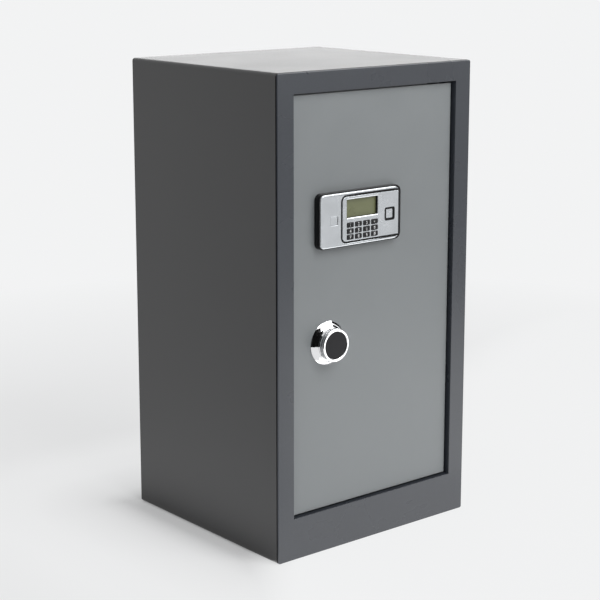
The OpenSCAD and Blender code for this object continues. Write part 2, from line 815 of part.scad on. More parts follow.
// The bar's flat shape, with the arm and the lug that the solenoid's plunger blocks
module bar_outline() {
    arm_l = bar_r - overcut;
    lug_b = arm_z - lug_h;
    translate([bar_l, bolt_z[0] - bar_over]) square([bar_w, bolt_z[2] - bolt_z[0] + 2 * bar_over]);
    translate([arm_l, arm_z]) square([lug_r + arm_past - arm_l, arm_h]);
    polygon([[lug_l, lug_b + lug_chamfer], [lug_l + lug_chamfer, lug_b], [lug_r, lug_b],
        [lug_r, arm_z + overcut], [lug_l, arm_z + overcut]]);
}

module bolt_bar() color("#b8babc") plate(bar_front, bar_t) difference() {
    bar_outline();
    translate([crank_pin_x - crank_slot_w / 2, crank_pin_z]) square([crank_slot_w, crank_slot_h]);
    for (z = [crank_pin_z, crank_pin_z + crank_slot_h]) translate([crank_pin_x, z]) circle(crank_slot_w / 2);
    for (z = guide_z) slot_x(guide_x, guide_x + bolt_throw, z, guide_d + 2 * sliding);
    for (z = bolt_z) translate([bolt_screw_x, z]) circle(bolt_screw_d / 2 + screw_clear);
}

module lock_bolts() color("silver") for (z = bolt_z) difference() {
    union() {
        translate([bolt_tip, front_y + bolt_y, z]) rotate([0, 90, 0])
            cylinder(r1 = bolt_d / 2 - bolt_point, r2 = bolt_d / 2, h = bolt_point);
        bar_x(bolt_y, z, bolt_d / 2, bolt_tip + bolt_point, bolt_rear);
    }
    block(bar_l - overcut, bolt_rear + overcut, bar_front, bar_back, z - bolt_d, z + bolt_d);
    bar_y(bolt_screw_x, z, bolt_screw_d / 2, bar_back - overcut, bolt_hole_end);
}

module bolt_screws() color("#48484a") for (z = bolt_z) {
    bar_y(bolt_screw_x, z, bolt_screw_d / 2, bar_front, bolt_screw_end);
    bar_y(bolt_screw_x, z, bolt_screw_d / 2 + bolt_head_rim, bar_front - bolt_head_t, bar_front);
}

module solenoid_frame() color("silver") {
    l = sol_x - sol_w / 2;
    r = sol_x + sol_w / 2;
    y1 = sol_front + sol_deep;
    difference() {
        union() {
            difference() {
                block(l, r, sol_front, y1, sol_b, sol_top);
                block(l + sol_wall, r - sol_wall, sol_front - overcut, y1 + overcut,
                    sol_b + sol_wall, sol_top - sol_wall);
            }
            block(l, r, door_back, sol_front + sol_wall, sol_b, sol_b + sol_foot_h);
        }
        bar_z(sol_x, sol_y, plunger_d / 2 + plunger_fit, sol_top - sol_wall - overcut, sol_top + overcut);
    }
}

module solenoid_coil() color("#8a5a2b") difference() {
    bar_z(sol_x, sol_y, coil_r, sol_b + sol_wall, sol_top - sol_wall);
    bar_z(sol_x, sol_y, plunger_d / 2 + plunger_fit, sol_b + sol_wall + coil_end, sol_top);
}

module solenoid_plunger() color("silver") {
    shoulder = plunger_top - plunger_point;
    bar_z(sol_x, sol_y, plunger_d / 2, sol_b + sol_wall + coil_end, shoulder);
    translate([sol_x, front_y + sol_y, shoulder])
        cylinder(r1 = plunger_d / 2, r2 = plunger_d / 2 - plunger_point, h = plunger_point);
}

module cap_window(grow) {
    round_rect_at(lock_x, panel_z, lock_cap_w + 2 * grow, lock_cap_h + 2 * grow, lock_cap_r + grow);
}

module button_window(grow_x, grow_z) {
    round_rect_at(button_x, panel_z - button_drop, button_w + 2 * grow_x, button_w + 2 * grow_z,
        button_r + min(grow_x, grow_z));
}

module lcd_window(w, h) {
    round_rect_at(lcd_x, lcd_z, w, h, lcd_r);
}

module keypad_base() color("#1a1a1b") difference() {
    union() {
        plate(panel_front + panel_edge, panel_t - panel_edge)
            round_rect_at(panel_x, panel_z, panel_w, panel_h, panel_r);
        plate(panel_front, panel_edge) round_rect_at(panel_x, panel_z,
            panel_w - panel_edge / 2, panel_h - panel_edge / 2, panel_r - panel_edge / 4);
    }
    difference() {
        plate(lock_front, panel_t) round_rect_at(panel_x, panel_z,
            panel_w - 2 * panel_wall, panel_h - 2 * panel_wall, panel_r - panel_wall);
        at_posts() bar_y(0, 0, post_r, panel_front, door_recess);
    }
    at_posts() bar_y(0, 0, screw_r, door_back - post_screw_l - overcut, door_recess + overcut);
    plate(panel_front - overcut, panel_wall + 2 * overcut)
        translate([lcd_x - window_w / 2, window_b]) square([window_w, window_t - window_b]);
    plate(panel_front - overcut, panel_wall + 2 * overcut) button_window(sliding, sliding);
    plate(panel_front - overcut, panel_wall + 2 * overcut) cap_window(sliding);
}

// The control plate's outline, grown by the groove or not. It runs out at the faceplate's right edge.
module control_outline(grow, past) {
    l = control_l - grow;
    r = face_rt + past;
    h = control_h + 2 * grow;
    c = control_r + grow;
    translate([l + c, panel_z - h / 2]) square([r - l - c, h]);
    translate([l, panel_z - h / 2 + c]) square([c, h - 2 * c]);
    for (z = [-1, 1]) translate([l + c, panel_z + z * (h / 2 - c)]) circle(c);
}

module faceplate() color("#c3c6c9") plate(face_front, plate_t) difference() {
    round_rect_at(face_x, panel_z, face_w, face_h, face_r);
    control_outline(groove_w, overcut);
    cap_window(sliding);
}

// A place among the keys, counted from the top left
module at_key(column, row) {
    translate([keys_x + column * key_pitch_x, keys_z - row * key_pitch_z]) children();
}

module control_plate() color("#c3c6c9") plate(face_front, plate_t) difference() {
    control_outline(0, 0);
    lcd_window(lcd_w, lcd_h);
    for (column = [0:key_columns - 1], row = [0:key_rows - 1])
        at_key(column, row) round_rect(key_w + 2 * key_clear, key_h + 2 * key_clear, key_r + key_clear);
    button_window(button_border_x, button_border_z);
}

module lcd_bezel() color("#1a1a1b") plate(panel_front, lcd_front - panel_front) difference() {
    lcd_window(lcd_frame_w, lcd_frame_h);
    lcd_window(lcd_w, lcd_h);
}

module lcd_display() color("#75795a") plate(lcd_front, lcd_t) lcd_window(lcd_frame_w, lcd_frame_h);

module keypad_board() color("#2f6b3c") difference() {
    l = lock_x + lock_r + lock_collar + board_edge;
    inset = panel_wall + board_edge;
    plate(board_y, board_t) intersection() {
        round_rect_at(panel_x, panel_z, panel_w - 2 * inset, panel_h - 2 * inset, panel_r - inset);
        translate([l, panel_z - panel_h / 2]) square([panel_w, panel_h]);
    }
    at_posts() bar_y(0, 0, post_r + sliding, board_y - overcut, board_y + board_t + overcut);
}

// One key: its proud top and, behind the plate, the wider skirt that keeps it in
module key_cap(column, row) color("#232324") {
    skirt_front = panel_front + key_gap;
    plate(face_front - key_proud, skirt_front - face_front + key_proud) at_key(column, row)
        round_rect(key_w, key_h, key_r);
    plate(skirt_front, key_back - skirt_front) at_key(column, row)
        round_rect(key_w + 2 * key_skirt, key_h + 2 * key_skirt, key_r);
}

module enter_button() color("#c3c6c9") {
    front = face_front + button_sink;
    flange = lock_front + key_gap;
    plate(front, flange - front) button_window(0, 0);
    plate(flange, key_back - flange) button_window(button_skirt, button_skirt);
}

module keyhole_cap() color("#c3c6c9") {
    front = face_front + lock_cap_sink;
    plate(front, lock_front - sliding - front) cap_window(0);
}

module override_lock() color("silver") {
    difference() {
        union() {
            bar_y(lock_x, panel_z, lock_r + lock_collar, lock_front, lock_front + lock_collar_t);
            bar_y(lock_x, panel_z, lock_r, lock_front + lock_collar_t, lock_back);
        }
        bar_y(lock_x, panel_z, plug_r + running, lock_front - overcut, lock_back + overcut);
    }
    difference() {
        translate([lock_x, front_y + door_back + lock_nut_t, panel_z]) rotate([90, 0, 0])
            cylinder(r = lock_nut_r, h = lock_nut_t, $fn = 6);
        bar_y(lock_x, panel_z, lock_r, door_back - overcut, door_back + lock_nut_t + overcut);
    }
}

module override_plug() color("gold") difference() {
    union() {
        bar_y(lock_x, panel_z, plug_r, lock_front + plug_sink, lock_back + cam_gap);
        bar_y(lock_x, panel_z, cam_seat_r, lock_back + cam_gap, lock_back + cam_gap + cam_t);
    }
    block(lock_x - key_slot_w / 2, lock_x + key_slot_w / 2, lock_front - overcut, lock_front + key_slot_l,
        panel_z - key_slot_h / 2, panel_z + key_slot_h / 2);
}

module override_cam() color("silver") plate(lock_back + cam_gap, cam_t) difference() {
    union() {
        translate([lock_x, panel_z]) circle(cam_r);
        translate([lock_x, panel_z - cam_w / 2]) square([cam_reach, cam_w]);
    }
    translate([lock_x, panel_z]) circle(cam_seat_r);
}

// The ribbon from the keypad, the batteries' lead and the solenoid's lead
module cables() color("gray") {
    z1 = cable_slot_z + cable_t / 2;
    block(cable_slot_x, cable_slot_x + cable_w, board_y + board_t, cable_run, z1 - cable_t, z1);
    block(min(cable_slot_x, ribbon_x), max(cable_slot_x + cable_w, ribbon_x), cable_run - cable_t, cable_run,
        z1 - cable_w, z1);
    block(ribbon_x - cable_t, ribbon_x, cable_run - cable_t, pcb_y, z1 - cable_w, z1);
    bar_z(plug_x + plug_w / 2, pcb_back + plug_t - 2 * lead_r, lead_r, bay_b + bay_h, plug_b);
    difference() {
        block(sol_x - lead_r, sol_x + lead_r, sol_y, lead_y, lead_z, lead_z + lead_r);
        bar_z(sol_x, sol_y, coil_r, sol_b, sol_top);
    }
    block(sol_x - lead_r, lead_x, lead_y - lead_r, lead_y, lead_z, lead_z + lead_r);
    block(lead_x - lead_r, lead_x, pcb_back, lead_y, lead_z, lead_z + lead_r);
}

// The places of the control board's posts
module at_pcb_posts() {
    for (x = [pcb_post, pcb_w - pcb_post], z = [pcb_post, pcb_h - pcb_post])
        translate([pcb_l + x, 0, pcb_b + z]) children();
}

module control_board() color("#2f6b3c") difference() {
    block(pcb_l, pcb_l + pcb_w, pcb_y, pcb_back, pcb_b, pcb_b + pcb_h);
    at_pcb_posts() bar_y(0, 0, pcb_screw_r, pcb_y - overcut, pcb_back + overcut);
}

// The control board's posts, reset switch, relay, capacitor, buzzer and battery plug
module board_parts() color("#303236") {
    at_pcb_posts() {
        bar_y(0, 0, pcb_post_r, door_back, pcb_y);
        bar_y(0, 0, pcb_screw_r, pcb_y, pcb_screw_end);
    }
    block(reset_x - reset_switch / 2, reset_x + reset_switch / 2, pcb_back, reset_front,
        reset_z - reset_switch / 2, reset_z + reset_switch / 2);
    block(relay_x, relay_x + relay_w, pcb_back, pcb_back + relay_t, relay_z, relay_z + relay_h);
    bar_y(capacitor_x, capacitor_z, capacitor_r, pcb_back, pcb_back + capacitor_t);
    bar_y(buzzer_x, buzzer_z, buzzer_r, pcb_back, pcb_back + buzzer_t);
    block(plug_x, plug_x + plug_w, pcb_back, pcb_back + plug_t, plug_b, plug_b + plug_h);
}

module reset_button() color("firebrick") {
    flange_back = box_back - sliding;
    bar_y(reset_x, reset_z, reset_r, reset_front + reset_travel + sliding,
        cover_back + reset_travel + reset_show);
    bar_y(reset_x, reset_z, reset_r + reset_flange, flange_back - reset_flange_t, flange_back);
}

module battery_box() color("#202022") difference() {
    block(bay_l, bay_l + bay_w, box_back - bay_deep, box_back, bay_b, bay_b + bay_h);
    block(bay_l + cell_wall, bay_l + bay_w - cell_wall, box_back - bay_deep + cell_wall, box_back + overcut,
        bay_b + cell_wall, bay_b + bay_h - cell_wall);
}

module batteries() color("#b87333") for (i = [0:cells - 1]) {
    x = bay_l + cell_wall + cell_pitch * (i + 0.5);
    y = box_back - bay_deep + cell_wall + cell_d / 2;
    z0 = bay_b + cell_wall + cell_spring;
    up = i % 2 == 0;
    bar_z(x, y, cell_d / 2, z0 + (up ? 0 : cell_nub), z0 + cell_l - (up ? cell_nub : 0));
    bar_z(x, y, cell_nub_r, up ? z0 + cell_l - cell_nub : z0, up ? z0 + cell_l : z0 + cell_nub);
}

module battery_cover() color("#2a2a2c") {
    block(bay_l - bay_lid_over, bay_l + bay_w + bay_lid_over, cover_back, cover_back + bay_lid_t,
        bay_b - bay_lid_over, bay_b + bay_h + bay_lid_over);
    low = bay_b + cell_wall + sliding;
    high = bay_b + bay_h - cell_wall - sliding - bay_clip_t;
    for (z = [low, high])
        block(bay_l + bay_w / 2 - bay_clip_w / 2, bay_l + bay_w / 2 + bay_clip_w / 2,
            cover_back - bay_clip_l, cover_back, z, z + bay_clip_t);
}

outer_wrap();
front_frame();
back_panel();
door_stops();
pivot_bosses();
thrust_washers();
shelf();
shelf_brackets();
floor_mat();
door_panel();
bolt_box();
inner_cover();
door_screws();
hinge_blocks();
hinge_pins();
hinge_side_pins();
guide_studs();
spindle_bush();
knob_rosette();
keypad_base();
faceplate();
control_plate();
lcd_bezel();
lcd_display();
keypad_board();
override_lock();
cables();
control_board();
board_parts();
battery_box();
batteries();
solenoid_frame();
solenoid_coil();
bolt_bar();
lock_bolts();
bolt_screws();
knob();
knob_cap();
spindle();
crank_disc();
spindle_nut();
solenoid_plunger();
override_plug();
override_cam();
keyhole_cap();
enter_button();
battery_cover();
reset_button();
key_cap(0, 0);  // key_1
key_cap(1, 0);  // key_2
key_cap(2, 0);  // key_3
key_cap(3, 0);  // key_star
key_cap(0, 1);  // key_4
key_cap(1, 1);  // key_5
key_cap(2, 1);  // key_6
key_cap(3, 1);  // key_0
key_cap(0, 2);  // key_7
key_cap(1, 2);  // key_8
key_cap(2, 2);  // key_9
key_cap(3, 2);  // key_hash
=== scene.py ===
"""Looks of a tall electronic safe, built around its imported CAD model.

Lengths are in metres, in the CAD's frame: X to the right, Y to the back, Z up. The sizes of a
finish, a rounding or a turned outline are in millimetres, as each function says.
"""
import json
from math import cos, pi, radians, sin

import bmesh
import bpy
from mathutils import Matrix, Vector


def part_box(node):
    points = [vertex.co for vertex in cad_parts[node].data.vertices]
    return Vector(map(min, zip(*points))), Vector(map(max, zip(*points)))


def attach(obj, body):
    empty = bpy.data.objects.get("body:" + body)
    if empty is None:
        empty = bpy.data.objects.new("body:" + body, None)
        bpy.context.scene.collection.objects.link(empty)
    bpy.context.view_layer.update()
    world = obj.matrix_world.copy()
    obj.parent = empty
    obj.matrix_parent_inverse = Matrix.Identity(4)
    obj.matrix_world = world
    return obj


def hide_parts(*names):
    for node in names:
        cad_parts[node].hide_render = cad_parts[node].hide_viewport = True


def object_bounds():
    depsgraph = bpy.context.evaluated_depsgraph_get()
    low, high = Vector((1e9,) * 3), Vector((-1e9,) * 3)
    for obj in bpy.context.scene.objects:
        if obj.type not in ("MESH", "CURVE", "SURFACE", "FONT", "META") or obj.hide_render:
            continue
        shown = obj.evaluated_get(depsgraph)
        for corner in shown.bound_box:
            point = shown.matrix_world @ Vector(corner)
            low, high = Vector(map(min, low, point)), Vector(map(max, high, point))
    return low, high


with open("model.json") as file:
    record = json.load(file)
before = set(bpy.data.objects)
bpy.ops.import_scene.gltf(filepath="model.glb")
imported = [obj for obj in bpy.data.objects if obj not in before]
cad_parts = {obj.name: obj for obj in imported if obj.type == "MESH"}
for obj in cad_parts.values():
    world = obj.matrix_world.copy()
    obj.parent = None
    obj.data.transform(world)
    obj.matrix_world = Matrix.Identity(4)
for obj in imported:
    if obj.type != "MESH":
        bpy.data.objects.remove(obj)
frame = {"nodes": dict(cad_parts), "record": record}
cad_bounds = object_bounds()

MM = 0.001

RECORD = frame["record"]
NODES = frame["nodes"]
SLOT_OF = {part["node"]: part["material_slot"] for part in RECORD["subparts"]}
BODY_OF = {node: body for body, nodes in RECORD["behaviour"]["bodies"].items() for node in nodes}

# Places that several pieces share, read from the CAD model
FRONT_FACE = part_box("front_frame")[0].y
DOOR_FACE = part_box("door_panel")[0].y
HOUSING_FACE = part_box("keypad_base")[0].y
PLATE_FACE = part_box("control_plate")[0].y
KNOB_AXIS = (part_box("knob")[0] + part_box("knob")[1]) / 2

# Distances below which two depths, or two points, count as one
SAME_DEPTH = 1e-5
SAME_POINT = 1e-6
SAME_FINE_POINT = 1e-7


# Node groups: effects that several materials share

def new_group(name, inputs, outputs):
    """An empty shader node group. inputs and outputs list (name, socket type, default)."""
    group = bpy.data.node_groups.new(name, "ShaderNodeTree")
    for direction, sockets in (("INPUT", inputs), ("OUTPUT", outputs)):
        for socket_name, kind, default in sockets:
            socket = group.interface.new_socket(socket_name, in_out=direction, socket_type=kind)
            if default is not None:
                socket.default_value = default
    return group, group.nodes.new("NodeGroupInput"), group.nodes.new("NodeGroupOutput")


def add_node(tree, kind, links=(), **settings):
    """A node with its settings.

    links maps an input's name to the socket that feeds it, or to the value that it is set to.
    """
    node = tree.nodes.new(kind)
    for name, value in settings.items():
        setattr(node, name, value)
    for name, source in dict(links).items():
        if isinstance(source, bpy.types.NodeSocket):
            tree.links.new(source, node.inputs[name])
        else:
            node.inputs[name].default_value = source
    return node


def maths(tree, operation, *numbers):
    """The result of a calculation on numbers. Each is a socket or a value."""
    return add_node(tree, "ShaderNodeMath", dict(enumerate(numbers)),
                    operation=operation).outputs["Value"]


def vector_maths(tree, operation, *vectors, output="Vector"):
    """The result of a calculation on vectors. Each is a socket or a value."""
    return add_node(tree, "ShaderNodeVectorMath", dict(enumerate(vectors)),
                    operation=operation).outputs[output]


def build_grain_group():
    """Fine grain, as of powder coat or moulded plastic: a tone from 0 to 1 and a height."""
    group, given, result = new_group(
        "fine_grain",
        [("Grain Size", "NodeSocketFloat", 0.001), ("Stretch", "NodeSocketVector", (1, 1, 1))],
        [("Tone", "NodeSocketFloat", None), ("Height", "NodeSocketFloat", None)])
    place = add_node(group, "ShaderNodeTexCoord").outputs["Object"]
    stretched = vector_maths(group, "MULTIPLY", place, given.outputs["Stretch"])
    scale = maths(group, "DIVIDE", 1.0, given.outputs["Grain Size"])
    noise = add_node(group, "ShaderNodeTexNoise",
                     {"Vector": stretched, "Scale": scale, "Detail": 3.0, "Roughness": 0.6})
    cells = add_node(group, "ShaderNodeTexVoronoi", {"Vector": stretched, "Scale": scale},
                     feature="SMOOTH_F1")
    height = maths(group, "SUBTRACT", noise.outputs["Fac"], cells.outputs["Distance"])
    group.links.new(noise.outputs["Fac"], result.inputs["Tone"])
    group.links.new(height, result.inputs["Height"])
    return group


def build_cloud_group():
    """Slow, soft variation over a surface, from 0 to 1, as of paint thickness or handling."""
    group, given, result = new_group(
        "soft_clouds", [("Cloud Size", "NodeSocketFloat", 0.1)],
        [("Tone", "NodeSocketFloat", None)])
    place = add_node(group, "ShaderNodeTexCoord").outputs["Object"]
    scale = maths(group, "DIVIDE", 1.0, given.outputs["Cloud Size"])
    noise = add_node(group, "ShaderNodeTexNoise",
                     {"Vector": place, "Scale": scale, "Detail": 4.0, "Roughness": 0.55,
                      "Distortion": 0.4})
    spread = add_node(group, "ShaderNodeMapRange",
                      {"Value": noise.outputs["Fac"], "From Min": 0.3, "From Max": 0.7})
    group.links.new(spread.outputs["Result"], result.inputs["Tone"])
    return group


GRAIN = build_grain_group()
CLOUDS = build_cloud_group()


def place_group(tree, group, **values):
    """A group in a material. values sets its inputs, such as Grain_Size."""
    node = tree.nodes.new("ShaderNodeGroup")
    node.node_tree = group
    for name, value in values.items():
        node.inputs[name.replace("_", " ")].default_value = value
    return node


# Finishes

# The least roughness that a finish varies down to
SMOOTHEST = 0.02


def make_finish(name, colour, roughness, metallic=0.0, grain_size=0.9, grain_depth=0.02,
                grain_tone=0.04, cloud_size=120, cloud_tone=0.05, rough_range=0.06,
                stretch=(1, 1, 1), **fixed):
    """A procedural surface.

    Sizes and depths are in millimetres, and tones are shares of the colour's brightness.
    fixed holds values for the shader's other sockets, such as Coat_Weight.
    """
    material = bpy.data.materials.new(name)
    material.use_nodes = True
    tree = material.node_tree
    shader = tree.nodes["Principled BSDF"]
    grain = place_group(tree, GRAIN, Grain_Size=grain_size * MM, Stretch=stretch)
    clouds = place_group(tree, CLOUDS, Cloud_Size=cloud_size * MM)

    def around_one(source, amount):
        """Brightness round 1 that follows a group's tone."""
        return add_node(tree, "ShaderNodeMapRange",
                        {"Value": source.outputs["Tone"], "To Min": 1 - amount,
                         "To Max": 1 + amount}).outputs[0]

    brightness = maths(tree, "MULTIPLY", around_one(grain, grain_tone),
                       around_one(clouds, cloud_tone))
    shade = add_node(tree, "ShaderNodeVectorMath", {0: colour, "Scale": brightness},
                     operation="SCALE")
    rough = add_node(tree, "ShaderNodeMapRange",
                     {"Value": clouds.outputs["Tone"],
                      "To Min": max(roughness - rough_range, SMOOTHEST),
                      "To Max": min(roughness + rough_range, 1.0)})
    bump = add_node(tree, "ShaderNodeBump",
                    {"Height": grain.outputs["Height"], "Strength": 1.0,
                     "Distance": grain_depth * MM})
    for node, socket in ((shade, "Base Color"), (rough, "Roughness"), (bump, "Normal")):
        tree.links.new(node.outputs[0], shader.inputs[socket])
    shader.inputs["Metallic"].default_value = metallic
    for socket, value in fixed.items():
        shader.inputs[socket.replace("_", " ")].default_value = value
    return material


# The finish of each material slot in the CAD model
MATERIALS = {
    "charcoal_paint": make_finish(
        "charcoal_powder", (0.030, 0.030, 0.031), 0.42, grain_size=1.2, grain_depth=0.05,
        grain_tone=0.06, cloud_tone=0.03, rough_range=0.015),
    "frame_paint": make_finish(
        "frame_powder", (0.038, 0.043, 0.053), 0.28, grain_size=2.6, grain_tone=0.14,
        cloud_tone=0.03, rough_range=0.02),
    "door_paint": make_finish(
        "door_satin", (0.208, 0.223, 0.230), 0.36, grain_size=0.5, grain_depth=0.015,
        grain_tone=0.02, cloud_tone=0.02),
    "bare_steel": make_finish(
        "zinc_steel", (0.60, 0.61, 0.64), 0.34, metallic=1.0, grain_size=0.5, grain_depth=0.01,
        grain_tone=0.08, cloud_size=14, cloud_tone=0.12, rough_range=0.1),
    "chrome": make_finish(
        "chrome", (0.86, 0.86, 0.87), 0.05, metallic=1.0, grain_size=0.8, grain_depth=0.0001,
        grain_tone=0.01, cloud_size=12, cloud_tone=0.02, rough_range=0.02),
    "dark_cap": make_finish(
        "cap_satin", (0.019, 0.019, 0.021), 0.5, grain_size=0.3, grain_depth=0.008,
        cloud_size=15, cloud_tone=0.04, Specular_IOR_Level=0.15),
    "black_housing": make_finish(
        "black_gloss", (0.005, 0.005, 0.006), 0.16, grain_size=0.7, grain_depth=0.002,
        cloud_size=30, rough_range=0.05, Specular_IOR_Level=0.3),
    "silver_plate": make_finish(
        "silver_plate", (0.50, 0.52, 0.54), 0.24, metallic=0.75, grain_size=0.6,
        grain_depth=0.0, grain_tone=0.01, cloud_size=25, cloud_tone=0.02),
    "display": make_finish(
        "display_glass", (0.145, 0.156, 0.076), 0.3, grain_size=0.4, grain_depth=0.0,
        grain_tone=0.02, cloud_size=20),
    "key_rubber": make_finish(
        "key_rubber", (0.008, 0.008, 0.009), 0.5, grain_size=0.25, grain_depth=0.01,
        cloud_size=8, cloud_tone=0.1, Specular_IOR_Level=0.25),
    "board": make_finish(
        "board_green", (0.02, 0.12, 0.045), 0.35, grain_size=1.2, grain_tone=0.2,
        cloud_size=12, cloud_tone=0.15),
    "dark_part": make_finish(
        "black_plastic", (0.03, 0.03, 0.032), 0.45, grain_size=0.35, cloud_size=25),
    "grey_lead": make_finish(
        "grey_lead", (0.30, 0.30, 0.31), 0.5, grain_depth=0.1, grain_tone=0.25),
    "nylon": make_finish(
        "nylon", (0.68, 0.66, 0.58), 0.45, grain_size=0.6, grain_depth=0.01, cloud_size=8),
    "brass": make_finish(
        "brass", (0.72, 0.53, 0.22), 0.28, metallic=1.0, grain_size=0.4, grain_depth=0.006,
        grain_tone=0.08, cloud_size=8, cloud_tone=0.1),
    "winding": make_finish(
        "copper_winding", (0.52, 0.22, 0.09), 0.35, metallic=0.9, grain_size=0.5,
        grain_depth=0.15, grain_tone=0.2, stretch=(0.1, 0.1, 1)),
    "cell": make_finish(
        "cell_wrap", (0.42, 0.20, 0.05), 0.3, grain_size=0.6, grain_depth=0.004, cloud_size=10),
    "red_plastic": make_finish(
        "red_plastic", (0.45, 0.012, 0.012), 0.35, grain_size=0.4, grain_depth=0.006,
        cloud_size=6),
    "mat_felt": make_finish(
        "mat_felt", (0.035, 0.035, 0.038), 0.95, grain_size=1.6, grain_depth=0.9,
        grain_tone=0.35, cloud_size=40, cloud_tone=0.12, rough_range=0.04, Sheen_Weight=0.4),
}
KEY_PRINT = make_finish("key_print", (0.84, 0.85, 0.86), 0.5, grain_size=0.2, grain_depth=0.002,
                        cloud_size=3)


# Making pieces

# Angles between two faces: where a copy's triangles merge, where an edge looks smooth, and
# where it is sharp enough to be rounded
FLAT_BELOW = radians(0.2)
SMOOTH_BELOW = radians(40)
ROUNDED_ABOVE = radians(30)

# An edge or a normal runs along an axis if more than this share of it does
SQUARE_ON = 0.9

# How finely a block's corners, a turn about the knob's axis and a bend in an outline are cut
CORNER_SEGMENTS = 6
TURN_STEPS = 128
BEND_STEPS = 8


def add_piece(name, shape, node=None, body=None, slot=None, material=None):
    """An object from a bmesh. It rides on node's body and stands for it, or rides on body.

    Its material is its slot's own, unless another is given.
    """
    for edge in shape.edges:
        edge.smooth = len(edge.link_faces) == 2 and edge.calc_face_angle(0) < SMOOTH_BELOW
    for face in shape.faces:
        face.smooth = True
    mesh = bpy.data.meshes.new(name)
    shape.to_mesh(mesh)
    shape.free()
    if "custom_normal" in mesh.attributes:
        mesh.attributes.remove(mesh.attributes["custom_normal"])
    mesh.materials.clear()
    mesh.materials.append(material or MATERIALS[slot or SLOT_OF[node]])
    piece = bpy.data.objects.new(name, mesh)
    bpy.context.scene.collection.objects.link(piece)
    even = piece.modifiers.new("even_normals", "WEIGHTED_NORMAL")
    even.keep_sharp = True
    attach(piece, body or BODY_OF[node])
    if node:
        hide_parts(node)


def node_copy(node):
    """A bmesh of a CAD node, with its triangles merged into flat faces."""
    shape = bmesh.new()
    shape.from_mesh(NODES[node].data)
    bmesh.ops.remove_doubles(shape, verts=shape.verts, dist=SAME_POINT)
    bmesh.ops.dissolve_limit(shape, angle_limit=FLAT_BELOW, verts=shape.verts,
                             edges=shape.edges)
    return shape


def bevel(shape, edges, radius, segments, clamp=True):
    """Rounds edges by a radius in metres."""
    bmesh.ops.bevel(shape, geom=edges, offset=radius, offset_type="OFFSET", segments=segments,
                    profile=0.5, affect="EDGES", clamp_overlap=clamp, material=-1)


def round_edges(shape, radius, segments=3, where=None, clamp=True):
    """Rounds a shape's sharp edges, or those that pass the test where, by millimetres."""
    edges = [edge for edge in shape.edges
             if edge.is_manifold and edge.calc_face_angle(0) > ROUNDED_ABOVE
             and (where is None or where(edge))]
    bevel(shape, edges, radius * MM, segments, clamp)


def soften(radii):
    """Copies of CAD nodes with rounded edges. radii maps a node to its radius in millimetres."""
    for node, radius in radii.items():
        shape = node_copy(node)
        round_edges(shape, radius)
        add_piece(node + "_finished", shape, node=node)


def on_front(edge, front):
    """Whether an edge lies at the depth of the front."""
    return max(vert.co.y for vert in edge.verts) < front + SAME_DEPTH


def block(low, high, corner):
    """A block between two corners, with its four edges along Y rounded."""
    shape = bmesh.new()
    bmesh.ops.create_cube(shape, size=1.0)
    low, high = Vector(low), Vector(high)
    bmesh.ops.scale(shape, vec=high - low, verts=shape.verts)
    bmesh.ops.translate(shape, vec=(low + high) / 2, verts=shape.verts)
    edges = [edge for edge in shape.edges
             if abs((edge.verts[0].co - edge.verts[1].co).normalized().y) > SQUARE_ON]
    bevel(shape, edges, corner, CORNER_SEGMENTS)
    return shape


def front_face(shape, y):
    """The face of a block that looks to the front at depth y."""
    return next(face for face in shape.faces if face.normal.y < -SQUARE_ON
                and abs(face.calc_center_median().y - y) < SAME_DEPTH)


def face_forward(shape):
    """Turns a shape that lies flat so that its top looks to the front."""
    bmesh.ops.rotate(shape, cent=(0, 0, 0), matrix=Matrix.Rotation(pi / 2, 3, "X"),
                     verts=shape.verts)


def turned(outline):
    """A shape turned about the knob's axis. outline lists (radius, height off the door) in mm."""
    shape = bmesh.new()
    points = [shape.verts.new((radius * MM, 0, height * MM)) for radius, height in outline]
    edges = [shape.edges.new(pair) for pair in zip(points, points[1:])]
    bmesh.ops.spin(shape, geom=points + edges, cent=(0, 0, 0), axis=(0, 0, 1), angle=2 * pi,
                   steps=TURN_STEPS, use_merge=True)
    bmesh.ops.remove_doubles(shape, verts=shape.verts, dist=SAME_POINT)
    face_forward(shape)
    bmesh.ops.translate(shape, vec=(KNOB_AXIS.x, DOOR_FACE, KNOB_AXIS.z), verts=shape.verts)
    bmesh.ops.recalc_face_normals(shape, faces=shape.faces)
    return shape


def bend(r, h, radius, start, end):
    """Points of an arc round (r, h) in an outline, from angle start to end in degrees."""
    angles = [radians(start + (end - start) * i / BEND_STEPS) for i in range(BEND_STEPS + 1)]
    return [(r + radius * cos(a), h + radius * sin(a)) for a in angles]


# Cabinet and door

FRAME_CORNER = 6.0 * MM
CORNER_MIDDLE = cad_bounds[1] - Vector((FRAME_CORNER, 0, FRAME_CORNER))
WRAP_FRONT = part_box("outer_wrap")[0].y

# The thickness of the frame's lip, the step behind it, and the depth of the shadow gap
LIP = 0.9 * MM
LIP_STEP = 0.02 * MM
SEAM_DEPTH = 2.8 * MM

# The door's opening: its edges are rounded by this many millimetres, and are those on the
# front that end further than the band from the frame's sides
OPENING_ROUNDING = 0.5
OUTLINE_BAND = 15 * MM


def opening_edge(edge):
    """Whether an edge belongs to the front of the door's opening."""
    return on_front(edge, FRONT_FACE) and all(
        abs(vert.co.x) < cad_bounds[1].x - OUTLINE_BAND for vert in edge.verts)


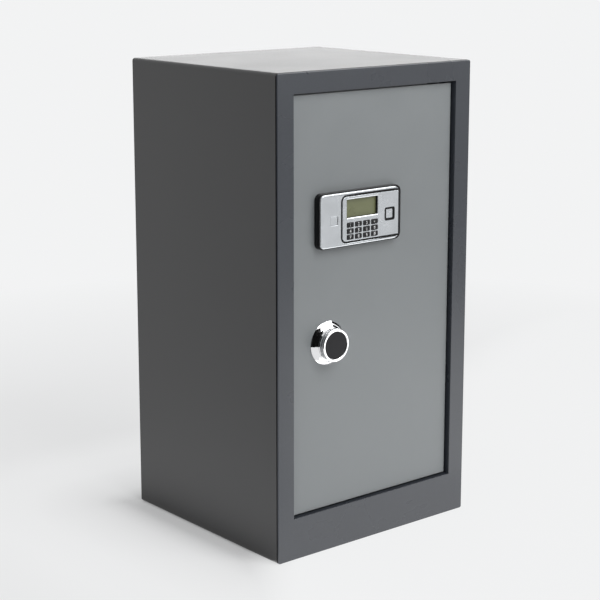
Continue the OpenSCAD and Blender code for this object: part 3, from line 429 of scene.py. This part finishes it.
def frame_shape():
    """The front frame. A shadow gap runs round it, from behind its thin lip to the wrap."""
    shape = node_copy("front_frame")
    lip_back = FRONT_FACE + LIP
    for y in (lip_back, lip_back + LIP_STEP):
        bmesh.ops.bisect_plane(shape, geom=shape.verts[:] + shape.edges[:] + shape.faces[:],
                               plane_co=(0, y, 0), plane_no=(0, 1, 0), dist=SAME_FINE_POINT)
    for vert in shape.verts:
        middle = Vector((max(-CORNER_MIDDLE.x, min(CORNER_MIDDLE.x, vert.co.x)), vert.co.y,
                         max(FRAME_CORNER, min(CORNER_MIDDLE.z, vert.co.z))))
        outwards = vert.co - middle
        behind_lip = lip_back + LIP_STEP / 2 < vert.co.y < WRAP_FRONT + SAME_DEPTH
        if behind_lip and outwards.length > FRAME_CORNER / 2:
            vert.co = middle + outwards.normalized() * (FRAME_CORNER - SEAM_DEPTH)
    round_edges(shape, OPENING_ROUNDING, where=opening_edge)
    return shape


add_piece("front_frame_sheet", frame_shape(), node="front_frame")
soften({"outer_wrap": 0.2, "back_panel": 0.3, "door_stops": 0.4, "shelf": 0.5,
        "shelf_brackets": 0.4, "floor_mat": 0.8, "door_panel": 1.4, "bolt_box": 0.5,
        "inner_cover": 0.4, "hinge_blocks": 1.0, "pivot_bosses": 0.8, "thrust_washers": 0.2})

# Bolt work, override cam, batteries and reset button

soften({"bolt_bar": 0.5, "lock_bolts": 0.5, "bolt_screws": 0.4, "hinge_side_pins": 0.5,
        "hinge_pins": 0.4, "guide_studs": 0.4, "crank_disc": 0.5, "spindle_nut": 0.3,
        "solenoid_frame": 0.4, "solenoid_plunger": 0.2, "door_screws": 0.5,
        "override_cam": 0.3, "battery_cover": 0.7, "battery_box": 0.4, "reset_button": 0.4})

# Display's frame, key lock and keypad housing

soften({"lcd_bezel": 0.15, "override_lock": 0.4, "keypad_base": 1.1})

# Silver plates: how deep their front edges are rounded, and how far across, in millimetres

ROUNDING_DEPTH = 1.1
FACEPLATE_ROUNDING = 1.75
GROOVE_ROUNDING = 0.6
CONTROL_PLATE_ROUNDING = 0.45
WINDOW_ROUNDING = 2.0
KEY_HOLE_ROUNDING = 0.15
PLATE_SEGMENTS = 6

# Where the edges of the groove, the window and the keys' holes lie
LEFT_FIELD = 11 * MM
GROOVE_HALF_HEIGHT = 34.8 * MM
HOLE_MARGIN = 1.0 * MM
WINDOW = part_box("lcd_bezel")
KEY_BOXES = [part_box(node) for node, slot in SLOT_OF.items() if slot == "key_rubber"]
KEYS_LOW = [min(low[axis] for low, high in KEY_BOXES) for axis in range(3)]
KEYS_HIGH = [max(high[axis] for low, high in KEY_BOXES) for axis in range(3)]
FACEPLATE_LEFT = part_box("faceplate")[0].x
PLATE_MIDDLE = (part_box("control_plate")[0].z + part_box("control_plate")[1].z) / 2


def groove_edge(edge):
    """Whether an edge of the faceplate lies inside its outline."""
    return all(vert.co.x > FACEPLATE_LEFT + LEFT_FIELD
               and abs(vert.co.z - PLATE_MIDDLE) < GROOVE_HALF_HEIGHT for vert in edge.verts)


def window_edge(edge):
    """Whether an edge belongs to the display's window."""
    return all(WINDOW[0].x < vert.co.x < WINDOW[1].x and WINDOW[0].z < vert.co.z < WINDOW[1].z
               for vert in edge.verts)


def key_hole_edge(edge):
    """Whether an edge belongs to one of the holes for the keys."""
    return all(KEYS_LOW[axis] - HOLE_MARGIN < vert.co[axis] < KEYS_HIGH[axis] + HOLE_MARGIN
               for vert in edge.verts for axis in (0, 2))


def plate_shape(node, outline_rounding, inner_roundings):
    """A thin plate with its front edges rounded, mostly further across than deep.

    inner_roundings maps a test to the rounding of the edges it picks. What no test picks is
    the plate's outline.
    """
    def outline_edge(edge):
        """Whether no test picks an edge."""
        return not any(test(edge) for test in inner_roundings)

    shape = node_copy(node)
    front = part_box(node)[0].y
    about_front = Matrix.Translation((0, -front, 0))
    for test, width in (*inner_roundings.items(), (outline_edge, outline_rounding)):
        flat = min(ROUNDING_DEPTH / width, 1.0)
        bmesh.ops.scale(shape, vec=(1, 1 / flat, 1), verts=shape.verts, space=about_front)
        round_edges(shape, width, PLATE_SEGMENTS, clamp=False,
                    where=lambda edge: test(edge) and on_front(edge, front))
        bmesh.ops.scale(shape, vec=(1, flat, 1), verts=shape.verts, space=about_front)
    return shape


add_piece("faceplate_sheet",
          plate_shape("faceplate", FACEPLATE_ROUNDING, {groove_edge: GROOVE_ROUNDING}),
          node="faceplate")
add_piece("control_plate_sheet",
          plate_shape("control_plate", CONTROL_PLATE_ROUNDING,
                      {window_edge: WINDOW_ROUNDING, key_hole_edge: KEY_HOLE_ROUNDING}),
          node="control_plate")

# Keys

KEY_MARKS = {"key_1": "1", "key_2": "2", "key_3": "3", "key_star": "*",
             "key_4": "4", "key_5": "5", "key_6": "6", "key_0": "0",
             "key_7": "7", "key_8": "8", "key_9": "9", "key_hash": "#"}
KEY_CORNER = 1.6 * MM
KEY_SKIRT = 0.55 * MM
SKIRT_SETBACK = 0.1 * MM
KEY_OVERLAP = 0.1 * MM
MARK_HEIGHT = 6.0 * MM
MARK_HALF_THICKNESS = 0.02 * MM
MARK_BOLDNESS = 0.13 * MM
MARK_CURVE_STEPS = 4

# The key's crown: how far in each ring lies from the last and how much it rises, in
# millimetres, and the rise of all three
CROWN_RINGS = ((0.25, 0.2), (0.6, 0.1), (1.2, 0.05))
KEY_CROWN = 0.35 * MM


def raise_crown(shape, y):
    """Insets the front face, at depth y, ring by ring, and moves each forward."""
    for width, rise in CROWN_RINGS:
        face = front_face(shape, y)
        bmesh.ops.inset_region(shape, faces=[face], thickness=width * MM, depth=0,
                               use_even_offset=True)
        bmesh.ops.translate(shape, vec=(0, -rise * MM, 0), verts=face.verts)
        y -= rise * MM


def merge_shapes(*shapes):
    """One bmesh that holds several."""
    whole = bmesh.new()
    for shape in shapes:
        mesh = bpy.data.meshes.new("part")
        shape.to_mesh(mesh)
        shape.free()
        whole.from_mesh(mesh)
        bpy.data.meshes.remove(mesh)
    return whole


def key_shape(low, high):
    """A key between two corners: a crowned top that stands on a wider skirt."""
    skirt_front = HOUSING_FACE + SKIRT_SETBACK
    top = block((low.x + KEY_SKIRT, low.y + KEY_CROWN, low.z + KEY_SKIRT),
                (high.x - KEY_SKIRT, skirt_front + KEY_OVERLAP, high.z - KEY_SKIRT), KEY_CORNER)
    raise_crown(top, low.y + KEY_CROWN)
    skirt = block((low.x, skirt_front, low.z), (high.x, high.y, high.z), KEY_CORNER)
    return merge_shapes(top, skirt)


def mark_shape(text, centre, depth):
    """A mark in flat letters that face the front, with its middle at centre and at depth."""
    curve = bpy.data.curves.new("mark", "FONT")
    curve.body = text
    curve.align_x = "CENTER"
    curve.align_y = "CENTER"
    curve.size = MARK_HEIGHT
    curve.extrude = MARK_HALF_THICKNESS
    curve.offset = MARK_BOLDNESS
    curve.resolution_u = MARK_CURVE_STEPS
    letters = bpy.data.objects.new("mark", curve)
    bpy.context.scene.collection.objects.link(letters)
    bpy.context.view_layer.update()
    mesh = bpy.data.meshes.new_from_object(letters)
    bpy.data.objects.remove(letters)
    shape = bmesh.new()
    shape.from_mesh(mesh)
    bpy.data.meshes.remove(mesh)
    bmesh.ops.remove_doubles(shape, verts=shape.verts, dist=SAME_FINE_POINT)
    low = Vector([min(vert.co[axis] for vert in shape.verts) for axis in range(3)])
    high = Vector([max(vert.co[axis] for vert in shape.verts) for axis in range(3)])
    bmesh.ops.translate(shape, vec=-(low + high) / 2, verts=shape.verts)
    face_forward(shape)
    bmesh.ops.translate(shape, vec=(centre.x, depth, centre.z), verts=shape.verts)
    return shape


for node, mark in KEY_MARKS.items():
    low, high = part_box(node)
    add_piece(node + "_cap", key_shape(low, high), node=node)
    printed = mark_shape(mark, (low + high) / 2, low.y + MARK_HALF_THICKNESS)
    add_piece(node + "_mark", printed, body=BODY_OF[node], slot="key_rubber",
              material=KEY_PRINT)

# Square button with its collar, and the key lock's cap

BUTTON_INSET = 1.0 * MM
BUTTON_CORNER = 1.2 * MM
BUTTON_ROUNDING = 0.5
COLLAR_GAP = 0.4 * MM
COLLAR_WALL = 2.7 * MM
COLLAR_CORNER = 2.6 * MM
COLLAR_ROUNDING = 0.35
COLLAR_FRONT = PLATE_FACE - 0.15 * MM
COLLAR_BACK = HOUSING_FACE + 0.5 * MM
LOCK_CAP_CORNER = 0.8 * MM
LOCK_CAP_ROUNDING = 0.4

low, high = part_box("enter_button")
BUTTON_LOW = Vector((low.x + BUTTON_INSET, low.y, low.z + BUTTON_INSET))
BUTTON_HIGH = Vector((high.x - BUTTON_INSET, high.y, high.z - BUTTON_INSET))


def button_shape():
    """The square button, narrower than its solid, with a rounded front."""
    button = block(BUTTON_LOW, BUTTON_HIGH, BUTTON_CORNER)
    round_edges(button, BUTTON_ROUNDING, where=lambda edge: on_front(edge, BUTTON_LOW.y))
    return button


def collar_shape():
    """A rounded square ring round the button."""
    reach = COLLAR_GAP + COLLAR_WALL
    ring = block((BUTTON_LOW.x - reach, COLLAR_FRONT, BUTTON_LOW.z - reach),
                 (BUTTON_HIGH.x + reach, COLLAR_BACK, BUTTON_HIGH.z + reach), COLLAR_CORNER)
    rear = next(face for face in ring.faces if face.normal.y > SQUARE_ON)
    hole = [front_face(ring, COLLAR_FRONT), rear]
    for face in hole:
        bmesh.ops.inset_region(ring, faces=[face], thickness=COLLAR_WALL, depth=0,
                               use_even_offset=True)
    bmesh.ops.bridge_loops(ring, edges=[edge for face in hole for edge in face.edges])
    bmesh.ops.delete(ring, geom=hole, context="FACES")
    bmesh.ops.recalc_face_normals(ring, faces=ring.faces)
    round_edges(ring, COLLAR_ROUNDING)
    return ring


def lock_cap_shape():
    """The square cap over the key lock."""
    cap = block(*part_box("keyhole_cap"), LOCK_CAP_CORNER)
    round_edges(cap, LOCK_CAP_ROUNDING)
    return cap


add_piece("enter_button_cap", button_shape(), node="enter_button")
add_piece("enter_collar", collar_shape(), body=BODY_OF["keypad_base"], slot="black_housing")
add_piece("keyhole_cap_cover", lock_cap_shape(), node="keyhole_cap")

# Knob, from outlines of (radius, height off the door) in millimetres

ROSETTE_OUTLINE = (
    [(5.6, 0), (32, 0)] + bend(21.73, -7.9, 13.4, 40, 65) + [(27.3, 4.0)]
    + bend(17.5, -4.2, 12.6, 41, 66) + [(5.6, 7.0), (5.6, 0)])
KNOB_OUTLINE = (
    [(5.0, 7.4), (23.0, 7.4), (23.3, 7.7), (23.2, 8.2), (22.5, 9.0), (22.2, 10.0), (22.2, 12.8),
     (22.7, 13.8)] + bend(21.95, 16.3, 2.3, -55, 0) + [(24.25, 16.9)]
    + bend(22.75, 17.5, 1.5, 0, 90)
    + [(20.9, 19.0), (20.4, 18.7), (20.2, 18.2), (20.2, 16.7), (5.0, 16.7), (5.0, 7.4)])
FACE_OUTLINE = [(0, 16.6), (20.0, 16.6), (20.0, 17.7), (19.6, 18.2), (18.8, 18.35), (0, 18.4)]

add_piece("rosette", turned(ROSETTE_OUTLINE), node="knob_rosette")
add_piece("knob_body", turned(KNOB_OUTLINE), node="knob")
add_piece("knob_face", turned(FACE_OUTLINE), node="knob_cap")

# The other CAD nodes keep their shape

for node, slot in SLOT_OF.items():
    if not NODES[node].hide_render:
        NODES[node].data.materials.clear()
        NODES[node].data.materials.append(MATERIALS[slot])


# Studio

PALE = (0.89, 0.895, 0.90, 1)
PAPER = (0.84, 0.845, 0.85, 1)
BLACK = (0.01, 0.01, 0.01, 1)
FLOOR_RADIUS = 70.0
FLOOR_SEGMENTS = 64
SCREEN_STEPS = 24

# Painted shadow on the floor: how much of the pale background the floor shows, by its
# distance in metres from the object's box. The rest of what shows is the paper with its
# cast shadow, so these tones set how dark the shade shows near the object.
PAINTED_SHADOW_TONES = {0.0: 0.22, 0.02: 0.42, 0.045: 0.59, 0.08: 0.68, 0.15: 0.79, 0.22: 0.80,
               0.32: 0.71, 0.6: 0.71, 1.5: 1.0}
FLOOR_REACH = max(PAINTED_SHADOW_TONES)
# The box that the painted shadow is measured from is moved by this, in metres
SHADOW_SHIFT = (-0.02, 0.01, 0)

# Painted light on the floor, paler in front towards LIT_WAY: the least of it that shows at a
# bearing, by the cosine to LIT_WAY: the first tone up to the first cosine, and the second
# from the second on
LIT_WAY = (0.6, -0.8, 0)
LIT_COSINES = (-0.2, 0.25)
PAINTED_LIT_TONES = (0.2, 0.93)


def seen_directly(tree):
    """1 for rays from the camera and through gloss or glass, 0 for light that falls on things."""
    path = tree.nodes.new("ShaderNodeLightPath")
    seen = path.outputs["Is Camera Ray"]
    for ray in ("Is Glossy Ray", "Is Transmission Ray"):
        seen = maths(tree, "MAXIMUM", seen, path.outputs[ray])
    return seen


def mix_surfaces(tree, share, first, second, output):
    """Mixes two shaders by a share, into the surface of an output node."""
    both = add_node(tree, "ShaderNodeMixShader",
                    {0: share, 1: first.outputs[0], 2: second.outputs[0]})
    tree.links.new(both.outputs[0], tree.nodes[output].inputs["Surface"])


def box_distance(tree, place):
    """How far a point of the floor is from the object's box, moved by SHADOW_SHIFT."""
    moved = vector_maths(tree, "SUBTRACT", place, SHADOW_SHIFT)
    mirrored = vector_maths(tree, "ABSOLUTE", moved)
    past_box = vector_maths(tree, "SUBTRACT", mirrored, cad_bounds[1].xy.to_3d())
    outside = vector_maths(tree, "MAXIMUM", past_box, (0, 0, 0))
    return vector_maths(tree, "LENGTH", outside, output="Value")


def painted_shade_tone(tree, distance):
    """The tone that PAINTED_SHADOW_TONES gives for a distance: painted shade."""
    along = add_node(tree, "ShaderNodeMapRange", {"Value": distance, "From Max": FLOOR_REACH})
    tones = add_node(tree, "ShaderNodeValToRGB", {"Fac": along.outputs[0]})
    ramp = tones.color_ramp.elements
    for metres in list(PAINTED_SHADOW_TONES)[1:-1]:
        ramp.new(metres / FLOOR_REACH)
    for point, tone in zip(ramp, PAINTED_SHADOW_TONES.values()):
        point.color = (tone, tone, tone, 1)
    return tones.outputs["Color"]


def painted_lit_tone(tree, place):
    """The tone that PAINTED_LIT_TONES gives for a place, by its bearing from the object's middle:
    painted light.
    """
    bearing = vector_maths(tree, "NORMALIZE", place)
    cosine = vector_maths(tree, "DOT_PRODUCT", bearing, LIT_WAY, output="Value")
    return add_node(tree, "ShaderNodeMapRange",
                    {"Value": cosine, "From Min": LIT_COSINES[0], "From Max": LIT_COSINES[1],
                     "To Min": PAINTED_LIT_TONES[0], "To Max": PAINTED_LIT_TONES[1]},
                    interpolation_type="SMOOTHSTEP").outputs["Result"]


def make_floor_material():
    """Pale paper. Away from the object and in front of it, it is as pale as the background;
    nearer, its shadow is partly painted.
    """
    material = bpy.data.materials.new("floor_paper_painted_shade")
    material.use_nodes = True
    tree = material.node_tree
    paper = tree.nodes["Principled BSDF"]
    paper.inputs["Base Color"].default_value = PAPER
    paper.inputs["Roughness"].default_value = 0.9
    paper.inputs["Specular IOR Level"].default_value = 0.1
    place = add_node(tree, "ShaderNodeTexCoord").outputs["Object"]
    # Painted shade: a pale glow covers part of the paper's cast shadow, by distance and by
    # bearing
    near_painted_shade = painted_shade_tone(tree, box_distance(tree, place))
    tone = maths(tree, "MAXIMUM", near_painted_shade, painted_lit_tone(tree, place))
    shown = maths(tree, "MULTIPLY", tone, seen_directly(tree))
    glow = add_node(tree, "ShaderNodeEmission", {"Color": PALE})
    mix_surfaces(tree, shown, paper, glow, "Material Output")
    return material


def make_black_material():
    """Black without gloss, for the screens."""
    material = bpy.data.materials.new("screen_black")
    material.use_nodes = True
    shader = material.node_tree.nodes["Principled BSDF"]
    shader.inputs["Base Color"].default_value = BLACK
    shader.inputs["Roughness"].default_value = 1.0
    shader.inputs["Specular IOR Level"].default_value = 0.0
    return material


def add_stage(name, shape, material):
    """A thing of the studio, from a bmesh."""
    mesh = bpy.data.meshes.new(name)
    shape.to_mesh(mesh)
    shape.free()
    mesh.materials.append(material)
    thing = bpy.data.objects.new(name, mesh)
    bpy.context.scene.collection.objects.link(thing)
    return thing


def add_floor():
    """A round floor that reaches far past what the camera sees of the object."""
    shape = bmesh.new()
    bmesh.ops.create_circle(shape, cap_ends=True, radius=FLOOR_RADIUS, segments=FLOOR_SEGMENTS)
    add_stage("floor", shape, make_floor_material())


def add_dark_screen(name, radius, angles, heights):
    """A curved black screen round the knob, which only gloss and metal show.

    angles are its two ends, in degrees from +X, and heights its lower and upper edge.
    """
    shape = bmesh.new()
    first, last = (radians(angle) for angle in angles)
    ends = [shape.verts.new((radius * cos(first), radius * sin(first), height))
            for height in heights]
    edge = shape.edges.new(ends)
    bmesh.ops.spin(shape, geom=ends + [edge], cent=(0, 0, 0), axis=(0, 0, 1),
                   angle=last - first, steps=SCREEN_STEPS)
    bmesh.ops.translate(shape, vec=(KNOB_AXIS.x, FRONT_FACE, 0), verts=shape.verts)
    screen = add_stage(name, shape, make_black_material())
    screen.visible_camera = False
    screen.visible_diffuse = False
    screen.visible_shadow = False
    screen.visible_transmission = False


def add_lamp(name, place, size, power):
    """A rectangular lamp that shines down. size is (width, height), and power is in watts."""
    light = bpy.data.lights.new(name, "AREA")
    light.shape = "RECTANGLE"
    light.size, light.size_y = size
    light.energy = power
    lamp = bpy.data.objects.new(name, light)
    lamp.location = place
    bpy.context.scene.collection.objects.link(lamp)
    return lamp


def add_softbox(name, place, target, size, power, gloss_only=False):
    """A lamp that shines from its place at a target."""
    lamp = add_lamp(name, place, size, power)
    lamp.rotation_euler = (Vector(target) - Vector(place)).to_track_quat("-Z", "Y").to_euler()
    lamp.visible_diffuse = not gloss_only


def add_floor_glow(name, place, size, power, turn=0, gloss_only=False):
    """Light off the lit floor, as matt or as glossy surfaces catch it. turn is in degrees."""
    lamp = add_lamp(name, place, size, power)
    lamp.rotation_euler = (pi, 0, radians(turn))
    lamp.visible_camera = False
    lamp.visible_glossy = gloss_only
    lamp.visible_diffuse = not gloss_only


def add_world(strength):
    """White light of some strength from all round. Seen directly, it is the pale background."""
    world = bpy.data.worlds.new("studio")
    world.use_nodes = True
    tree = world.node_tree
    light = tree.nodes["Background"]
    light.inputs["Color"].default_value = (1.0, 1.0, 1.0, 1)
    light.inputs["Strength"].default_value = strength
    pale = add_node(tree, "ShaderNodeBackground", {"Color": PALE})
    mix_surfaces(tree, seen_directly(tree), light, pale, "World Output")
    bpy.context.scene.world = world


# The photograph's camera, solved from the cabinet's corners. It looks at AIM from DISTANCE and
# is then moved right and up. Its axis meets the picture at the row CENTRE_PIXEL.
PHOTO_PIXELS = 600
FOCAL_PIXELS = 1613.1
CENTRE_PIXEL = 261.6
SENSOR_MM = 36.0
AZIMUTH = radians(-39.70)
ELEVATION = radians(11.69)
DISTANCE = 2.4772
AIM = Vector((0, 0.0008, 0.35))
MOVE_RIGHT = 0.00007
MOVE_UP = 0.03976
NEAREST_SEEN = 0.01


def add_camera():
    """The camera at the photograph's angle."""
    back = Vector((sin(AZIMUTH) * cos(ELEVATION), -cos(AZIMUTH) * cos(ELEVATION),
                   sin(ELEVATION)))
    right = (-back).cross(Vector((0, 0, 1))).normalized()
    up = right.cross(-back)
    place = AIM + back * DISTANCE + right * MOVE_RIGHT + up * MOVE_UP
    data = bpy.data.cameras.new("camera")
    data.sensor_width = SENSOR_MM
    data.lens = SENSOR_MM * FOCAL_PIXELS / PHOTO_PIXELS
    data.shift_y = (CENTRE_PIXEL - PHOTO_PIXELS / 2) / PHOTO_PIXELS
    data.clip_start = NEAREST_SEEN
    camera = bpy.data.objects.new("camera", data)
    camera.matrix_world = Matrix((
        (right.x, up.x, back.x, place.x), (right.y, up.y, back.y, place.y),
        (right.z, up.z, back.z, place.z), (0, 0, 0, 1)))
    bpy.context.scene.collection.objects.link(camera)
    bpy.context.scene.camera = camera


add_floor()
add_dark_screen("left_screen", 0.85, (174, 276), (0.05, 1.35))
add_dark_screen("right_screen", 1.08, (-22, 9), (0.36, 1.12))
add_world(0.48)
add_softbox("key_light", (0.3, -2.1, 2.5), (0, 0, 0.3), (2.0, 2.0), 50)
add_softbox("side_light", (1.7, -0.6, 2.3), (0, 0, 0.4), (1.0, 1.0), 14, gloss_only=True)
add_softbox("back_light", (1.9, 2.4, 1.15), (0, 0, 0.7), (3.6, 1.6), 42, gloss_only=True)
add_softbox("strip_light", (1.25, -1.75, 1.45), (0, -0.17, 0.5), (1.3, 1.2), 24,
            gloss_only=True)
add_floor_glow("front_sheen", (0.525, -0.639, 0.001), (1.65, 0.54), 3.1, turn=-50,
               gloss_only=True)
add_floor_glow("ahead_sheen", (0.639, -0.810, 0.002), (1.24, 0.58), 0.88, turn=-50,
               gloss_only=True)
add_floor_glow("left_glow", (-0.38, 0.0, 0.01), (0.3, 0.6), 1.0)
add_camera()
bpy.context.scene.view_settings.view_transform = "Standard"
